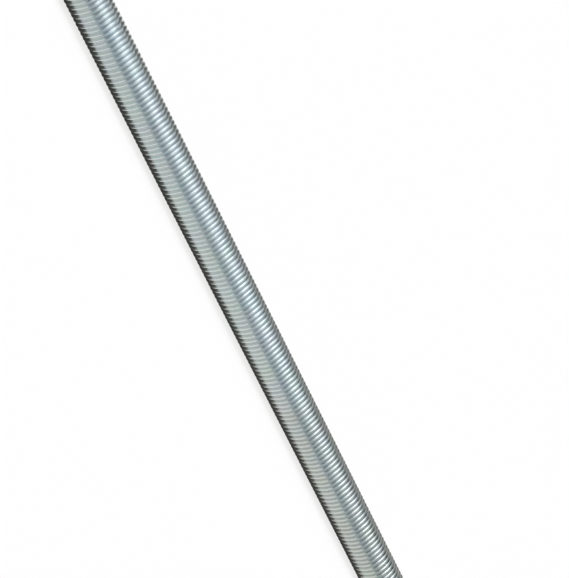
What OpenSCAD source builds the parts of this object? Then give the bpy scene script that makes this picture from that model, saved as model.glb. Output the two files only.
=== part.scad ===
// Threaded rod, also called studding: one straight bar of zinc-plated steel with a
// coarse metric thread rolled along its whole length, and both ends chamfered so that
// a nut starts easily.
//
// The rod lies along X, with its middle at the origin. The bar is drawn at the major
// diameter of its thread, which is what a nut, a clamp or a clearance hole is sized
// by, so its wall is one true cylinder. The helical groove is fine next to the rod's
// length, and is a surface form that is added to this bar and not part of the source.

/* [Rod] */
// Length from end face to end face, a whole number of threads when bought
rod_len = 300; // [60:1:1000]

/* [Thread] */
// Major diameter, over the crests of the thread
thread_d = 16; // [10:0.5:30]
// Pitch, from one crest to the next along the rod
thread_pitch = 2; // [1:0.25:3.5]

/* [Ends] */
// Slope of the chamfer, measured from the rod's axis
chamfer_angle = 45; // [30:1:60]
// How far the chamfer cuts in below the root of the thread, on the radius
below_root = 0.25; // [0:0.05:1]

/* [Hidden] */

// Sides given to the round bar
ROUND_SIDES = 96;

// Root diameter of a metric external thread, below its major diameter by 17/12 of the
// height of the sharp triangle that the thread form is cut from
sharp_height = thread_pitch * sqrt(3) / 2;
root_d = thread_d - 17 / 12 * sharp_height;

// The end face is a disc, a little smaller than the root, so that the thread runs out
// in the chamfer and leaves no sharp feather on the face
face_r = root_d / 2 - below_root;
chamfer_depth = thread_d / 2 - face_r;
chamfer_len = chamfer_depth / tan(chamfer_angle);

// Half of the bar's outline on one side of its axis, from end face to end face: the
// first number of each point is the radius, the second the place along the rod
module bar_outline() {
    half_len = rod_len / 2;
    wall_end = half_len - chamfer_len;
    polygon([
        [0, -half_len],
        [face_r, -half_len],
        [thread_d / 2, -wall_end],
        [thread_d / 2, wall_end],
        [face_r, half_len],
        [0, half_len]
    ]);
}

// The whole rod, turned from its outline and laid along X
module threaded_rod() {
    color("silver")
    rotate([0, 90, 0])
    rotate_extrude($fn = ROUND_SIDES)
    bar_outline();
}

threaded_rod();
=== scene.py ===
# %% [markdown]
# # A threaded rod
#
# Studding is a plain steel bar with a screw thread rolled along all of it.
# It is bought by the metre, cut to length, and used with nuts to hang pipes,
# brace frames and clamp things together.
#
# There is only one piece to make, and nearly all of its character is in two
# things: a true helix of 150 turns, and a bright zinc plate that mirrors the
# room in 150 thin stripes. So this lesson spends its time on those two.
#
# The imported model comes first. It is a smooth bar with chamfered ends, and
# its box gives every size that the thread must fit.

import math

import bmesh
import bpy
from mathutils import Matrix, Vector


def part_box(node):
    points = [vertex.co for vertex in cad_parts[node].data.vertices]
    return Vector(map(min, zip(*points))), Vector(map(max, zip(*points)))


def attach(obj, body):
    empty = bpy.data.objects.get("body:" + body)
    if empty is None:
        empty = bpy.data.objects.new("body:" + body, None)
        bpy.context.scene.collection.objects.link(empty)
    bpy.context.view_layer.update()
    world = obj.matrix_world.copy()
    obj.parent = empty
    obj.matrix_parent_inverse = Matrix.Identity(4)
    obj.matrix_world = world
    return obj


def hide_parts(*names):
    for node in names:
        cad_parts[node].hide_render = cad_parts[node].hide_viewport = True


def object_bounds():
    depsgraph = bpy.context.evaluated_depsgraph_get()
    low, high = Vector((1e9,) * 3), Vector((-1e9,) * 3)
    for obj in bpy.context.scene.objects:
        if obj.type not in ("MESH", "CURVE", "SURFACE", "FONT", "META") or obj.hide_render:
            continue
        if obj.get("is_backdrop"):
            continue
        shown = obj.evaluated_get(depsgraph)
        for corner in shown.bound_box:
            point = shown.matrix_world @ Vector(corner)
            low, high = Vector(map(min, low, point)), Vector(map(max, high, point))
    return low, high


MM = 0.001

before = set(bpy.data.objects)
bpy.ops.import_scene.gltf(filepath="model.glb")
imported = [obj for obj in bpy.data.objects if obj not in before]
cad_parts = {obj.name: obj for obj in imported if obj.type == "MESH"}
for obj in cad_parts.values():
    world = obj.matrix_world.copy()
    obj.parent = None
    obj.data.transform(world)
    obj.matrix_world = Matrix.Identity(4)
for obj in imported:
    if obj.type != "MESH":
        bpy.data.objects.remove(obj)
cad_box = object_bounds()
bar_low, bar_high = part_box("threaded_rod")
rod_length = bar_high.x - bar_low.x
crest_radius = (bar_high.z - bar_low.z) / 2

print("rod length, mm", round(rod_length / MM, 3))
print("radius over the crests, mm", round(crest_radius / MM, 3))

# %% [markdown]
# ## The thread's own numbers
#
# A metric thread is a triangle with 60 degree sides, with its tips cut away.
# Everything follows from the pitch, which is the step from one crest to the
# next. The height of the full sharp triangle is the pitch times half the
# square root of three. The crest is left flat for an eighth of the pitch, and
# the root is rounded, because the rolling dies are rounded there.
#
# The hand says which way the thread climbs. Minus one is a left-hand thread,
# which tightens when it is turned anticlockwise. Plus one gives the usual
# right-hand thread, and nothing else has to change.
#
# The chamfer at each end goes a little deeper than the root, so that the flat
# face of the end is a clean circle.

# %% Pitch, hand and the triangle
pitch = 2 * MM
thread_hand = -1
sharp_height = pitch * math.sqrt(3) / 2
half_crest = pitch / 16
flank_depth = 7 / 8 * sharp_height
root_radius = crest_radius - 17 / 24 * sharp_height
below_root = 0.25 * MM
chamfer = crest_radius - root_radius + below_root
turns = round(rod_length / pitch) + 2

print("depth of the sharp groove, mm", round(flank_depth / MM, 4))
print("radius that the rounded root should have, mm", round(root_radius / MM, 4))
print("turns swept, with one to spare at each end", turns)

# %% [markdown]
# ## Drawing one pitch of the thread
#
# The rod could be a plain cylinder with a bump map, but then its outline
# would be a straight line, and the edge of a real one is a row of teeth.
# It could also be a stack of rings, but rings don't climb.
# The way that gives a real thread is to draw the outline of a single pitch
# and sweep it along a helix.
#
# The outline is drawn as a person would with the extrude key. A small plane
# is merged down to one point, the point is moved out to the crest, and each
# extrude draws one straight side. It all stays a hair inside the smooth bar,
# so that rounding errors can't push a crest out of the bar's box.

# %% Draw the outline of one pitch


def pick_nothing():
    """Deselects every object, because an operator acts on all that is selected."""
    bpy.ops.object.select_all(action="DESELECT")


def pick_only(piece):
    pick_nothing()
    piece.select_set(True)
    bpy.context.view_layer.objects.active = piece


def draw_side(step_along, step_out):
    bpy.ops.mesh.extrude_region_move(
        TRANSFORM_OT_translate={"value": (step_along, 0, step_out)}
    )


hair = 0.0002 * MM
start_x = -thread_hand * turns * pitch / 2 - pitch / 2
half_groove = pitch / 2 - half_crest

pick_nothing()
bpy.ops.mesh.primitive_plane_add(size=pitch)
rod = bpy.context.object
rod.name = "zinc_threaded_rod"
bpy.ops.object.mode_set(mode="EDIT")
bpy.ops.mesh.select_mode(type="VERT")
bpy.ops.mesh.select_all(action="SELECT")
bpy.ops.mesh.merge(type="CENTER")
bpy.ops.transform.translate(value=(start_x, 0, crest_radius - hair))
draw_side(half_crest, 0)
draw_side(half_groove, -flank_depth)
draw_side(half_groove, flank_depth)
draw_side(half_crest, 0)
bpy.ops.object.mode_set(mode="OBJECT")

print("points in the sharp outline", len(rod.data.vertices))

# %% [markdown]
# ## Rounding the root and the crest corners
#
# A vertex bevel turns a sharp corner of a line into an arc. The root gets a
# wide one, which takes its depth from the sharp triangle down to the root
# radius worked out above. The two corners of the crest get a smaller one: the
# steel is squeezed up between the dies and hardly ever fills them, so the
# crest of a rolled thread is more round than flat.

# %% Round the root and the crest


def pick_points(piece, wanted):
    """Selects the points of an outline for which wanted(place) is true."""
    mesh = bmesh.from_edit_mesh(piece.data)
    for edge in mesh.edges:
        edge.select = False
    for vertex in mesh.verts:
        vertex.select = wanted(vertex.co)
    bmesh.update_edit_mesh(piece.data)


root_fillet = 0.285 * pitch
crest_fillet = 0.125 * pitch
groove_x = start_x + pitch / 2
nearly = pitch / 1000

bpy.ops.object.mode_set(mode="EDIT")
pick_points(rod, lambda co: co.z < crest_radius - flank_depth / 2)
bpy.ops.mesh.bevel(
    offset=root_fillet,
    offset_type="OFFSET",
    affect="VERTICES",
    segments=4,
    profile=0.5,
)
pick_points(
    rod,
    lambda co: co.z > crest_radius - nearly
    and abs(abs(co.x - groove_x) - half_groove) < nearly,
)
bpy.ops.mesh.bevel(
    offset=crest_fillet,
    offset_type="OFFSET",
    affect="VERTICES",
    segments=3,
    profile=0.5,
)
bpy.ops.object.mode_set(mode="OBJECT")

outline = sorted((v.co.x, v.co.z) for v in rod.data.vertices)
print("points in the rounded outline", len(outline))
print("root radius drawn, mm", round(min(z for x, z in outline) / MM, 4))

# %% [markdown]
# ## Sweeping the helix
#
# The Screw modifier turns the outline round the X axis and moves it along by
# one pitch for each turn. Because the outline starts on one crest and ends on
# the next, each turn meets the one before it, and merging the doubled points
# closes the seam. 42 steps to a turn keep the outline of the rod round and
# the whole thread well below 200,000 triangles.

# %% Sweep the outline along the rod
steps_per_turn = 42

pick_only(rod)
sweep = rod.modifiers.new("thread_sweep", "SCREW")
sweep.axis = "X"
sweep.angle = 2 * math.pi
sweep.screw_offset = pitch * thread_hand
sweep.iterations = turns
sweep.steps = steps_per_turn
sweep.render_steps = steps_per_turn
sweep.use_merge_vertices = True
sweep.merge_threshold = 0.0001 * MM
bpy.ops.object.modifier_apply(modifier=sweep.name)

print("faces after the sweep", len(rod.data.polygons))

# %% [markdown]
# ## Sawing to length and closing the bar
#
# The sweep is an open tube of thread, a turn too long at each end. Two
# bisects saw it a little over length and fill the cuts, and the normals are
# then made to point outwards.

# %% Saw the thread a little over length
saw_spare = 0.4 * MM

bpy.ops.object.mode_set(mode="EDIT")
bpy.ops.mesh.select_all(action="SELECT")
bpy.ops.mesh.remove_doubles(threshold=0.001 * MM)
for side in (1, -1):
    bpy.ops.mesh.select_all(action="SELECT")
    bpy.ops.mesh.bisect(
        plane_co=(side * (rod_length / 2 + saw_spare), 0, 0),
        plane_no=(side, 0, 0),
        clear_outer=True,
        use_fill=True,
    )
bpy.ops.mesh.select_all(action="SELECT")
bpy.ops.mesh.normals_make_consistent(inside=False)
bpy.ops.object.mode_set(mode="OBJECT")

print("faces after the saw", len(rod.data.polygons))

# %% [markdown]
# ## The chamfers
#
# After the saw, a real rod has its ends chamfered so that a nut starts
# easily, and the thread runs out through the cone in a thin crescent. That
# crescent is hard to draw and easy to cut: a chamfered cylinder, a little
# fatter than the rod everywhere but at its ends, is intersected with the
# thread, and what is left has the exact length, the cones and the crescents.

# %% Cut the chamfers
cutter_spare = 0.3 * MM

pick_nothing()
bpy.ops.mesh.primitive_cylinder_add(
    vertices=96,
    radius=crest_radius + cutter_spare,
    depth=rod_length,
    rotation=(0, math.pi / 2, 0),
)
cutter = bpy.context.object
cutter.name = "chamfer_cutter"
bpy.ops.object.transform_apply(location=False, rotation=True, scale=True)
bpy.ops.object.mode_set(mode="EDIT")
bpy.ops.mesh.select_mode(type="EDGE")
cutter_mesh = bmesh.from_edit_mesh(cutter.data)
for edge in cutter_mesh.edges:
    edge.select = abs(edge.verts[0].co.x - edge.verts[1].co.x) < nearly
bmesh.update_edit_mesh(cutter.data)
bpy.ops.mesh.bevel(offset=chamfer + cutter_spare, segments=1, affect="EDGES")
bpy.ops.object.mode_set(mode="OBJECT")

pick_only(rod)
cut = rod.modifiers.new("chamfers", "BOOLEAN")
cut.operation = "INTERSECT"
cut.solver = "EXACT"
cut.object = cutter
bpy.ops.object.modifier_apply(modifier=cut.name)
bpy.data.objects.remove(cutter)

print("faces after the chamfers", len(rod.data.polygons))

# %% [markdown]
# ## Measuring the thread
#
# Before any paint, the mesh is checked as a machinist checks a thread: is it
# closed, how big is it, and which way does it climb. The hand is read from
# the crests of one turn near the middle: on a right-hand thread the crest
# moves towards +X as it turns from +Y to +Z.

# %% Check that it is closed, and its hand


def turn_about_axis(place):
    """Angle about the rod, from +Z, growing from +Y to +Z."""
    return math.atan2(-place.y, place.z)


checked = bmesh.new()
checked.from_mesh(rod.data)
open_edges = sum(1 for edge in checked.edges if len(edge.link_faces) != 2)
volume = checked.calc_volume(signed=True)
triangles = sum(len(face.verts) - 2 for face in checked.faces)
on_crest = [
    v.co.copy()
    for v in checked.verts
    if abs(math.hypot(v.co.y, v.co.z) - crest_radius) < nearly
    and abs(v.co.x - pitch / 2) < 0.4 * pitch
]
checked.free()
climb = sum(
    (place.x - pitch / 2) * turn_about_axis(place) for place in on_crest
)

print("open edges", open_edges)
print("triangles", triangles)
print("volume, cubic mm", round(volume / MM**3))
print("the thread is", "right-hand" if climb > 0 else "left-hand")

# %% [markdown]
# ## Shading
#
# A rolled thread has no sharp inner edges, and the plate softens it further,
# so light runs smoothly over crest, flank and root. The saw cuts and the
# chamfers are sharp. Smoothing by angle does both: edges below 40 degrees
# are shaded round, and the others stay crisp.

# %% Shade the thread
pick_only(rod)
bpy.ops.object.shade_smooth_by_angle(angle=math.radians(40))

print("shaded smooth below 40 degrees")

# %% [markdown]
# ## Unrolling the thread for the material
#
# Rolling dies drag the steel along the thread, so every mark that they leave
# runs along the helix. A pattern can follow it if the material knows, for any
# point, how far along the unrolled thread it lies. This node group works that
# out from the point's place on the rod.
#
# It takes the angle about the axis, finds which turn the point is on, and
# adds the two. The turn changes at the bottom of the groove, where the seam
# can't be seen, and the distance runs on without a step.

# %% The unrolled thread, as a node group


def new_group(name, inputs, outputs):
    """A shader node group with named value, vector or colour sockets."""
    kinds = {
        "value": "NodeSocketFloat",
        "vector": "NodeSocketVector",
        "colour": "NodeSocketColor",
    }
    group = bpy.data.node_groups.new(name, "ShaderNodeTree")
    for socket, kind, default in inputs:
        made = group.interface.new_socket(
            name=socket, in_out="INPUT", socket_type=kinds[kind]
        )
        if default is not None:
            made.default_value = default
    for socket, kind in outputs:
        group.interface.new_socket(
            name=socket, in_out="OUTPUT", socket_type=kinds[kind]
        )
    return group, group.nodes.new("NodeGroupInput"), group.nodes.new("NodeGroupOutput")


def connect(tree, value, socket):
    """Puts a number on a socket, or joins another node's socket to it."""
    if isinstance(value, bpy.types.NodeSocket):
        tree.links.new(value, socket)
    elif value is not None:
        socket.default_value = value


def calculate(tree, operation, first, second=None, third=None):
    node = tree.nodes.new("ShaderNodeMath")
    node.operation = operation
    for value, socket in zip((first, second, third), node.inputs):
        connect(tree, value, socket)
    return node.outputs[0]


def split(tree, vector):
    node = tree.nodes.new("ShaderNodeSeparateXYZ")
    tree.links.new(vector, node.inputs[0])
    return node.outputs


def join(tree, x, y, z):
    node = tree.nodes.new("ShaderNodeCombineXYZ")
    for value, socket in zip((x, y, z), node.inputs):
        connect(tree, value, socket)
    return node.outputs[0]


unroll, given, result = new_group(
    "unrolled_thread",
    [("Place", "vector", None)],
    [("Along", "value"), ("Across", "value"), ("Radius", "value")],
)
x, y, z = split(unroll, given.outputs["Place"])
minus_y = calculate(unroll, "MULTIPLY", y, -1)
angle = calculate(unroll, "ARCTAN2", minus_y, z)
part_turn = calculate(unroll, "DIVIDE", angle, 2 * math.pi)
pitches = calculate(unroll, "DIVIDE", x, pitch)
climbed = calculate(unroll, "MULTIPLY", part_turn, thread_hand)
from_crest = calculate(unroll, "SUBTRACT", pitches, climbed)
whole = calculate(unroll, "FLOOR", from_crest)
within = calculate(unroll, "FRACT", from_crest)
all_turns = calculate(unroll, "MULTIPLY_ADD", whole, thread_hand, part_turn)
along = calculate(unroll, "MULTIPLY", all_turns, 2 * math.pi * crest_radius)
across = calculate(unroll, "MULTIPLY", within, pitch)
y_squared = calculate(unroll, "MULTIPLY", y, y)
radius_squared = calculate(unroll, "MULTIPLY_ADD", z, z, y_squared)
radius = calculate(unroll, "SQRT", radius_squared)
unroll.links.new(along, result.inputs["Along"])
unroll.links.new(across, result.inputs["Across"])
unroll.links.new(radius, result.inputs["Radius"])

turns_on_rod = rod_length / pitch
unrolled_length = turns_on_rod * 2 * math.pi * crest_radius
print("length of the thread if unrolled, m", round(unrolled_length, 2))

# %% [markdown]
# ## Stretched noise
#
# Nearly every mark on rolled and plated steel is a noise that has been
# stretched one way. One small group makes it: it takes how far along, across
# and out a point lies, and the size that a mark should have each way, and
# puts out a soft grey value.

# %% Stretched marks, as a node group
marks, given, result = new_group(
    "stretched_marks",
    [
        ("Along", "value", 0.0),
        ("Across", "value", 0.0),
        ("Out", "value", 0.0),
        ("Length", "value", 0.01),
        ("Width", "value", 0.001),
        ("Detail", "value", 2.0),
    ],
    [("Value", "value")],
)
mark_place = join(
    marks,
    calculate(marks, "DIVIDE", given.outputs["Along"], given.outputs["Length"]),
    calculate(marks, "DIVIDE", given.outputs["Across"], given.outputs["Width"]),
    calculate(marks, "DIVIDE", given.outputs["Out"], given.outputs["Width"]),
)
mark_noise = marks.nodes.new("ShaderNodeTexNoise")
mark_noise.inputs["Scale"].default_value = 1.0
marks.links.new(mark_place, mark_noise.inputs["Vector"])
marks.links.new(given.outputs["Detail"], mark_noise.inputs["Detail"])
marks.links.new(mark_noise.outputs["Fac"], result.inputs["Value"])

print("group made:", marks.name)

# %% [markdown]
# ## The colour of the plate
#
# Bright zinc is a little blue, because it is dipped in a clear chromate that
# leaves a film thinner than a soap bubble. The film isn't even: every few
# turns it shows a faint patch of green, blue or violet. This group makes
# those, and it also paints a change of light along the rod, from the cool
# colour towards -X to the warm one towards +X. Both are weak, because the
# eye should read one grey metal.

# %% Film tints and painted light along the rod, as a node group
tint_and_painted_drift, given, result = new_group(
    "chromate_film_and_painted_drift",
    [
        ("Place", "vector", None),
        ("Cool", "colour", (0.55, 0.66, 0.7, 1)),
        ("Warm", "colour", (0.63, 0.66, 0.6, 1)),
        ("Drift", "value", 0.5),
        ("Patches", "value", 0.3),
    ],
    [("Color", "colour"), ("Cloud", "value")],
)


def mix_colours(tree, share, first, second, way="MIX"):
    node = tree.nodes.new("ShaderNodeMix")
    node.data_type = "RGBA"
    node.blend_type = way
    node.clamp_factor = True
    connect(tree, share, node.inputs[0])
    connect(tree, first, node.inputs[6])
    connect(tree, second, node.inputs[7])
    return node.outputs[2]


def fade(tree, value, start, end, low=0.0, high=1.0):
    """A smooth step: low before start, high after end."""
    node = tree.nodes.new("ShaderNodeMapRange")
    node.interpolation_type = "SMOOTHSTEP"
    connect(tree, value, node.inputs["Value"])
    node.inputs["From Min"].default_value = start
    node.inputs["From Max"].default_value = end
    node.inputs["To Min"].default_value = low
    node.inputs["To Max"].default_value = high
    return node.outputs["Result"]


def soft_noise(tree, place, scale, detail=1.0):
    node = tree.nodes.new("ShaderNodeTexNoise")
    node.inputs["Scale"].default_value = scale
    node.inputs["Detail"].default_value = detail
    connect(tree, place, node.inputs["Vector"])
    return node


uneven = soft_noise(tint_and_painted_drift, given.outputs["Place"], 25, 2)
down_the_rod = split(tint_and_painted_drift, given.outputs["Place"])[0]
drifted_to = calculate(
    tint_and_painted_drift, "MULTIPLY_ADD", uneven.outputs["Fac"], 0.3 * rod_length, down_the_rod
)
# Painted light: the share of the warm colour grows towards +X, for light that changes
# along the rod.
painted_drift_share = calculate(
    tint_and_painted_drift,
    "MULTIPLY",
    fade(tint_and_painted_drift, drifted_to, 0.1 * rod_length, 0.6 * rod_length),
    given.outputs["Drift"],
)
based = mix_colours(
    tint_and_painted_drift, painted_drift_share, given.outputs["Cool"], given.outputs["Warm"]
)
patches = soft_noise(tint_and_painted_drift, given.outputs["Place"], 130, 1.5)
tinted = mix_colours(
    tint_and_painted_drift, given.outputs["Patches"], based, patches.outputs["Color"], "SOFT_LIGHT"
)
cloud = soft_noise(tint_and_painted_drift, given.outputs["Place"], 160, 3)
tint_and_painted_drift.links.new(tinted, result.inputs["Color"])
tint_and_painted_drift.links.new(cloud.outputs["Fac"], result.inputs["Cloud"])

print("group made:", tint_and_painted_drift.name)

# %% [markdown]
# ## The zinc on the thread
#
# The material itself puts the parts together. The shader is a plain metal,
# and what changes over it is the colour, the roughness and a very shallow
# bump:
#
# - rolling streaks follow the unrolled thread, a tenth of a millimetre wide;
# - the root is darker and duller, since the plate is thinner there and dirt
#   stays in it; its darker colour is also painted shade for the deep groove;
# - the crest is rubbed brighter and smoother where rods slide over each
#   other, and it carries small nicks.

# %% The thread's material


def new_material(name, metal_roughness):
    material = bpy.data.materials.new(name)
    material.use_nodes = True
    tree = material.node_tree
    shader = tree.nodes["Principled BSDF"]
    shader.inputs["Metallic"].default_value = 1.0
    shader.inputs["Roughness"].default_value = metal_roughness
    place = tree.nodes.new("ShaderNodeTexCoord").outputs["Object"]
    return material, tree, shader, place


def use_group(tree, group, values):
    node = tree.nodes.new("ShaderNodeGroup")
    node.node_tree = group
    for socket, value in values.items():
        connect(tree, value, node.inputs[socket])
    return node.outputs


# The plate's colour towards -X, and a warmer, darker one painted towards +X for the change
# of light along the rod.
cool_zinc = (0.645, 0.702, 0.709, 1)
warm_zinc = (0.578, 0.612, 0.596, 1)
# The root's colour: dirt, and painted shade in the groove.
dirty_and_shaded_zinc = (0.25, 0.27, 0.26, 1)
rubbed_zinc = (0.74, 0.77, 0.76, 1)
nicked_zinc = (0.3, 0.31, 0.31, 1)

zinc, tree, shader, place = new_material("zinc_on_thread", 0.28)
unrolled = use_group(tree, unroll, {"Place": place})
tone = use_group(
    tree,
    tint_and_painted_drift,
    {
        "Place": place,
        "Cool": cool_zinc,
        "Warm": warm_zinc,
        "Drift": 1.0,
        "Patches": 0.15,
    },
)
streaks = use_group(
    tree,
    marks,
    {
        "Along": unrolled["Along"],
        "Across": unrolled["Across"],
        "Out": unrolled["Radius"],
        "Length": 9 * MM,
        "Width": 0.11 * MM,
        "Detail": 3.0,
    },
)["Value"]
rubbed = calculate(
    tree,
    "MULTIPLY",
    fade(tree, unrolled["Radius"], crest_radius - 0.12 * MM, crest_radius),
    fade(tree, tone["Cloud"], 0.35, 0.6),
)
# Painted shade and dirt: the colour darkens towards the root of the groove.
groove = fade(
    tree, unrolled["Radius"], root_radius, root_radius + 0.5 * MM, 1.0, 0.0
)
dirt_and_painted_shade = calculate(
    tree, "MULTIPLY", groove, fade(tree, streaks, 0.3, 0.7, 0.5, 1.0)
)

nick_cells = tree.nodes.new("ShaderNodeTexVoronoi")
nick_cells.inputs["Scale"].default_value = 1.0
nick_place = join(
    tree,
    calculate(tree, "DIVIDE", unrolled["Along"], 6 * MM),
    calculate(tree, "DIVIDE", unrolled["Across"], 0.9 * MM),
    0.0,
)
tree.links.new(nick_place, nick_cells.inputs["Vector"])
nick_spots = fade(tree, nick_cells.outputs["Distance"], 0.04, 0.12, 1.0, 0.0)
nicks = calculate(
    tree,
    "MULTIPLY",
    nick_spots,
    fade(tree, unrolled["Radius"], crest_radius - 0.2 * MM, crest_radius),
)

dirt_and_shade_share = calculate(tree, "MULTIPLY", dirt_and_painted_shade, 0.22)
rubbed_share = calculate(tree, "MULTIPLY", rubbed, 0.35)
nick_share = calculate(tree, "MULTIPLY", nicks, 0.5)
toned = mix_colours(tree, dirt_and_shade_share, tone["Color"], dirty_and_shaded_zinc)
bright = mix_colours(tree, rubbed_share, toned, rubbed_zinc)
marked = mix_colours(tree, nick_share, bright, nicked_zinc)
tree.links.new(marked, shader.inputs["Base Color"])

streaky = fade(tree, streaks, 0.3, 0.7, 0.18, 0.25)
cloudy = fade(tree, tone["Cloud"], 0.35, 0.65, -0.02, 0.03)
roughness = calculate(tree, "ADD", streaky, cloudy)
roughness = calculate(tree, "MULTIPLY_ADD", dirt_and_painted_shade, 0.1, roughness)
roughness = calculate(tree, "MULTIPLY_ADD", rubbed, -0.06, roughness)
tree.links.new(roughness, shader.inputs["Roughness"])

height = calculate(tree, "MULTIPLY_ADD", nicks, -3.0, streaks)
bump = tree.nodes.new("ShaderNodeBump")
bump.inputs["Strength"].default_value = 0.25
bump.inputs["Distance"].default_value = 0.01 * MM
tree.links.new(height, bump.inputs["Height"])
tree.links.new(bump.outputs["Normal"], shader.inputs["Normal"])

print("material made:", zinc.name)

# %% [markdown]
# ## The sawn ends
#
# The end faces and the chamfers were cut and not rolled. The saw leaves fine
# straight scratches right across the face, and the plate over them looks a
# little duller. The same two groups serve, with the marks laid across the
# face in place of along the thread.

# %% The material of the ends
dull_zinc = (0.4, 0.43, 0.43, 1)

sawn, tree, shader, place = new_material("zinc_on_saw_cut", 0.36)
x, y, z = split(tree, place)
# The same painted change of light along the rod as on the thread.
tone = use_group(
    tree,
    tint_and_painted_drift,
    {
        "Place": place,
        "Cool": cool_zinc,
        "Warm": warm_zinc,
        "Drift": 1.0,
        "Patches": 0.1,
    },
)
scratches = use_group(
    tree,
    marks,
    {
        "Along": y,
        "Across": z,
        "Out": x,
        "Length": 14 * MM,
        "Width": 0.16 * MM,
        "Detail": 4.0,
    },
)["Value"]
dull_share = fade(tree, scratches, 0.35, 0.65, 0.0, 0.4)
dulled = mix_colours(tree, dull_share, tone["Color"], dull_zinc)
tree.links.new(dulled, shader.inputs["Base Color"])
tree.links.new(
    fade(tree, scratches, 0.3, 0.7, 0.3, 0.46), shader.inputs["Roughness"]
)
bump = tree.nodes.new("ShaderNodeBump")
bump.inputs["Strength"].default_value = 0.5
bump.inputs["Distance"].default_value = 0.03 * MM
tree.links.new(scratches, bump.inputs["Height"])
tree.links.new(bump.outputs["Normal"], shader.inputs["Normal"])

rod.data.materials.clear()
rod.data.materials.append(zinc)
rod.data.materials.append(sawn)
cone_sum = crest_radius - chamfer + rod_length / 2
cut_faces = 0
for face in rod.data.polygons:
    from_middle = abs(face.center.x)
    from_axis = math.hypot(face.center.y, face.center.z)
    on_face = abs(face.normal.x) > 0.999
    near_end = from_middle > rod_length / 2 - chamfer
    on_cone = near_end and abs(from_axis + from_middle - cone_sum) < 0.02 * MM
    if on_face or on_cone:
        face.material_index = 1
        cut_faces += 1

print("faces on the saw cuts and chamfers", cut_faces)

# %% [markdown]
# ## Telling the frame about the piece
#
# The thread stands for the plain bar, which stays behind as the solid that
# collisions use. It rides on the only body there is.

# %% Join it to the frame
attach(rod, "root")
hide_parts("threaded_rod")

print("the thread now stands for threaded_rod")

# %% [markdown]
# ## Floor
#
# The rod lies on a light table: a pale matt sheet, lit from above by the room
# and from below by a lamp of its own. Most of what is seen of the sheet is
# that glow, so the shadow beside the rod stays soft and light. The glow is
# there for the eye and for mirrors, and throws no light on anything.
#
# Metal looks right only where some of its edges are dark. So a strip of
# painted shade, a dark brown colour nearly as wide as the rod, lies under it
# where its shadow falls. It masks almost all that the zinc mirrors of the
# glow, and the lower side of the thread shows it as a thin dark line with a
# tooth for each turn: a painted dark reflection. Beside the strip the mirrored
# glow is a touch dimmer and warmer than the one that the eye sees, because
# the plate would otherwise look too blue underneath.

# %% A light table
floor_side = 60
sheet_colour = (0.857, 0.834, 0.811, 1)
# Painted shade: the dark colour of the strip under the rod.
shade_strip_colour = (0.76, 0.66, 0.56, 1)
white = (1.0, 1.0, 1.0, 1)
warm_white = (1.0, 0.985, 0.95, 1)
glow_share = 0.78
mirrored_glow = 0.96
masked_glow = 0.04
mask_start = 0.65 * crest_radius
mask_end = 0.96 * crest_radius

pick_nothing()
bpy.ops.mesh.primitive_plane_add(size=floor_side, location=(0, 0, bar_low.z))
floor = bpy.context.object
floor.name = "floor"
table_top = bpy.data.materials.new("light_table")
table_top.use_nodes = True
tree = table_top.node_tree
matt = tree.nodes["Principled BSDF"]
matt.inputs["Roughness"].default_value = 1.0
matt.inputs["Specular IOR Level"].default_value = 0.0

on_floor = tree.nodes.new("ShaderNodeTexCoord").outputs["Object"]
x, y, z = split(tree, on_floor)
# Painted shade: the sheet is darkened in a strip under the rod, along its length.
beside = fade(tree, calculate(tree, "ABSOLUTE", y), mask_start, mask_end)
beyond = fade(
    tree,
    calculate(tree, "ABSOLUTE", x),
    rod_length / 2 - crest_radius,
    rod_length / 2 + crest_radius,
)
unmasked = calculate(tree, "MAXIMUM", beside, beyond)
sheet_and_shade_strip = mix_colours(tree, unmasked, shade_strip_colour, sheet_colour)
tree.links.new(sheet_and_shade_strip, matt.inputs["Base Color"])

rays = tree.nodes.new("ShaderNodeLightPath").outputs
mirrored = calculate(
    tree, "MAXIMUM", rays["Is Glossy Ray"], rays["Is Transmission Ray"]
)
seen = calculate(tree, "MAXIMUM", rays["Is Camera Ray"], mirrored)
# In mirrors the glow drops to masked_glow on the painted shade strip.
lift = mirrored_glow - masked_glow
less_in_mirror = calculate(tree, "MULTIPLY_ADD", unmasked, lift, masked_glow - 1.0)
strength = calculate(tree, "MULTIPLY_ADD", mirrored, less_in_mirror, 1.0)
glow_colour = mix_colours(tree, mirrored, white, warm_white)
share_seen = calculate(tree, "MULTIPLY", seen, glow_share)

glow = tree.nodes.new("ShaderNodeEmission")
tree.links.new(strength, glow.inputs["Strength"])
tree.links.new(glow_colour, glow.inputs["Color"])
sheet = tree.nodes.new("ShaderNodeMixShader")
tree.links.new(share_seen, sheet.inputs["Fac"])
tree.links.new(matt.outputs["BSDF"], sheet.inputs[1])
tree.links.new(glow.outputs["Emission"], sheet.inputs[2])
output = tree.nodes["Material Output"]
tree.links.new(sheet.outputs["Shader"], output.inputs["Surface"])
floor.data.materials.append(table_top)
floor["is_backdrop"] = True

print("the table is at z, mm", round(bar_low.z / MM, 3))

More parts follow.
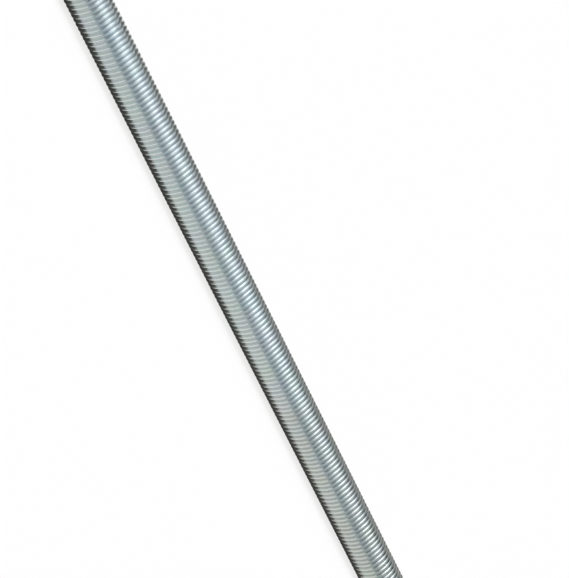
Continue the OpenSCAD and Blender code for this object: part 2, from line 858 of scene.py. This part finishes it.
# %% [markdown]
# ## Light
#
# A shiny rod has no colour of its own to show. What it shows is the room, so
# the room is designed as carefully as the thread. Two soft boxes hang in line
# with the rod, a bright one past its far end and a dimmer one over its near
# end, with a gap between them. The crests and the roots of the thread mirror
# the gap, and the sides mirror the boxes, and that is what makes every turn
# show. Boxes in line with a rod also light the floor right beside it, so the
# shadow stays small. The rest is a quiet room: a pale wall in front, painted
# a little blue, and a warmer one at the back that darkens near the floor.
# Both fade towards their corners. Low down, a pale skyline as bright as the
# floor hides the line where the floor ends.
#
# The room is drawn in the world's own shader, from the direction that each
# ray looks in. Two angles of it are enough: how far it has turned away from
# +X, and how far it leans from straight up, to the front or to the back.
# Each box and wall is a soft patch in these two angles, written in degrees.

# %% The two soft boxes and the room round them
world = bpy.data.worlds.new("soft_room")
bpy.context.scene.world = world
world.use_nodes = True
tree = world.node_tree
sky = tree.nodes["Background"]
looking = tree.nodes.new("ShaderNodeTexCoord").outputs["Generated"]
x, y, z = split(tree, looking)
lean = calculate(tree, "ARCTAN2", y, z)
turned = calculate(tree, "ARCCOSINE", x)


def between(value, start, end, low, high):
    """A smooth step between two angles in degrees."""
    return fade(tree, value, math.radians(start), math.radians(end), low, high)


def band(value, middle, full, none):
    """One within full degrees of the middle, and nothing beyond none degrees."""
    away = calculate(tree, "SUBTRACT", value, math.radians(middle))
    away = calculate(tree, "ABSOLUTE", away)
    return between(away, full, none, 1.0, 0.0)


def blend(share, first, second):
    """The first level where share is 0 and the second where it is 1."""
    apart = calculate(tree, "SUBTRACT", second, first)
    return calculate(tree, "MULTIPLY_ADD", apart, share, first)


far_box_level = 5.4
near_box_level = 3.1
front_wall_level = 1.06
skyline_level = 0.988
blue_paint = (0.94, 1.03, 1.105, 1)
warm_paint = (1.03, 1.0, 0.96, 1)
box_white = (1.0, 1.0, 1.02, 1)

past_far_end = between(turned, 35, 81, 1.0, 0.0)
far_box = calculate(tree, "MULTIPLY", band(lean, -8, 3, 39), past_far_end)
over_near_end = band(turned, 119, 1, 36)
near_box = calculate(tree, "MULTIPLY", band(lean, -12, 13, 52), over_near_end)

front_middle = band(turned, 90, 0, 45)
front_wall = calculate(tree, "MULTIPLY", front_middle, front_wall_level)
back_middle = band(turned, 95, 0, 43)
paler_down = between(lean, 15, 45, 0.68, 1.0)
dark_low = between(lean, 56, 84, 1.0, 0.1)
back_wall = calculate(tree, "MULTIPLY", back_middle, paler_down)
back_wall = calculate(tree, "MULTIPLY", back_wall, dark_low)

level = blend(between(lean, -59, 5, 0.0, 1.0), front_wall, back_wall)
level = blend(far_box, level, far_box_level)
level = blend(near_box, level, near_box_level)
skyline = fade(tree, z, 0.038, 0.052, 1.0, 0.0)
level = blend(skyline, level, skyline_level)

at_back = between(lean, 22, 75, 0.0, 1.0)
paint = mix_colours(tree, at_back, blue_paint, warm_paint)
in_a_box = fade(tree, level, 0.6, 2.0)
tint = mix_colours(tree, in_a_box, paint, box_white)
tint = mix_colours(tree, skyline, tint, white)
tree.links.new(tint, sky.inputs["Color"])
tree.links.new(level, sky.inputs["Strength"])

print("two soft boxes overhead, the brighter one towards +X")

# %% [markdown]
# ## Camera
#
# The camera looks down from the -Y side, near the -X end, and it is turned on
# its side, so that the rod runs from corner to corner and away from the eye.
# A long lens keeps the two edges of the rod almost parallel.

# %% The camera
bpy.ops.object.camera_add()
camera = bpy.context.object
camera.name = "camera"
camera.data.sensor_width = 36
camera.data.lens = 202.7
camera.data.clip_start = 0.01
camera.data.clip_end = 200
camera.location = (-0.595, -0.996, 0.3803)
camera_turns = (41.916, -66.382, 14.69)
camera.rotation_euler = [math.radians(turn) for turn in camera_turns]
bpy.context.scene.camera = camera
bpy.context.scene.view_settings.view_transform = "Standard"

print("camera distance, m", round(camera.location.length, 3))

# %% [markdown]
# ## Checking the size and finishing
#
# The visual model has to stay inside the box of the bar that it stands for.
# Both boxes are printed.

# %% Print both boxes
visual_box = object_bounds()


def plain(value):
    """Turns corners and vectors into plain lists of numbers."""
    if hasattr(value, "__len__"):
        return [plain(part) for part in value]
    return float(value)


{"cad": plain(cad_box), "visual": plain(visual_box)}
print("bar box", plain(cad_box))
print("thread box", plain(visual_box))
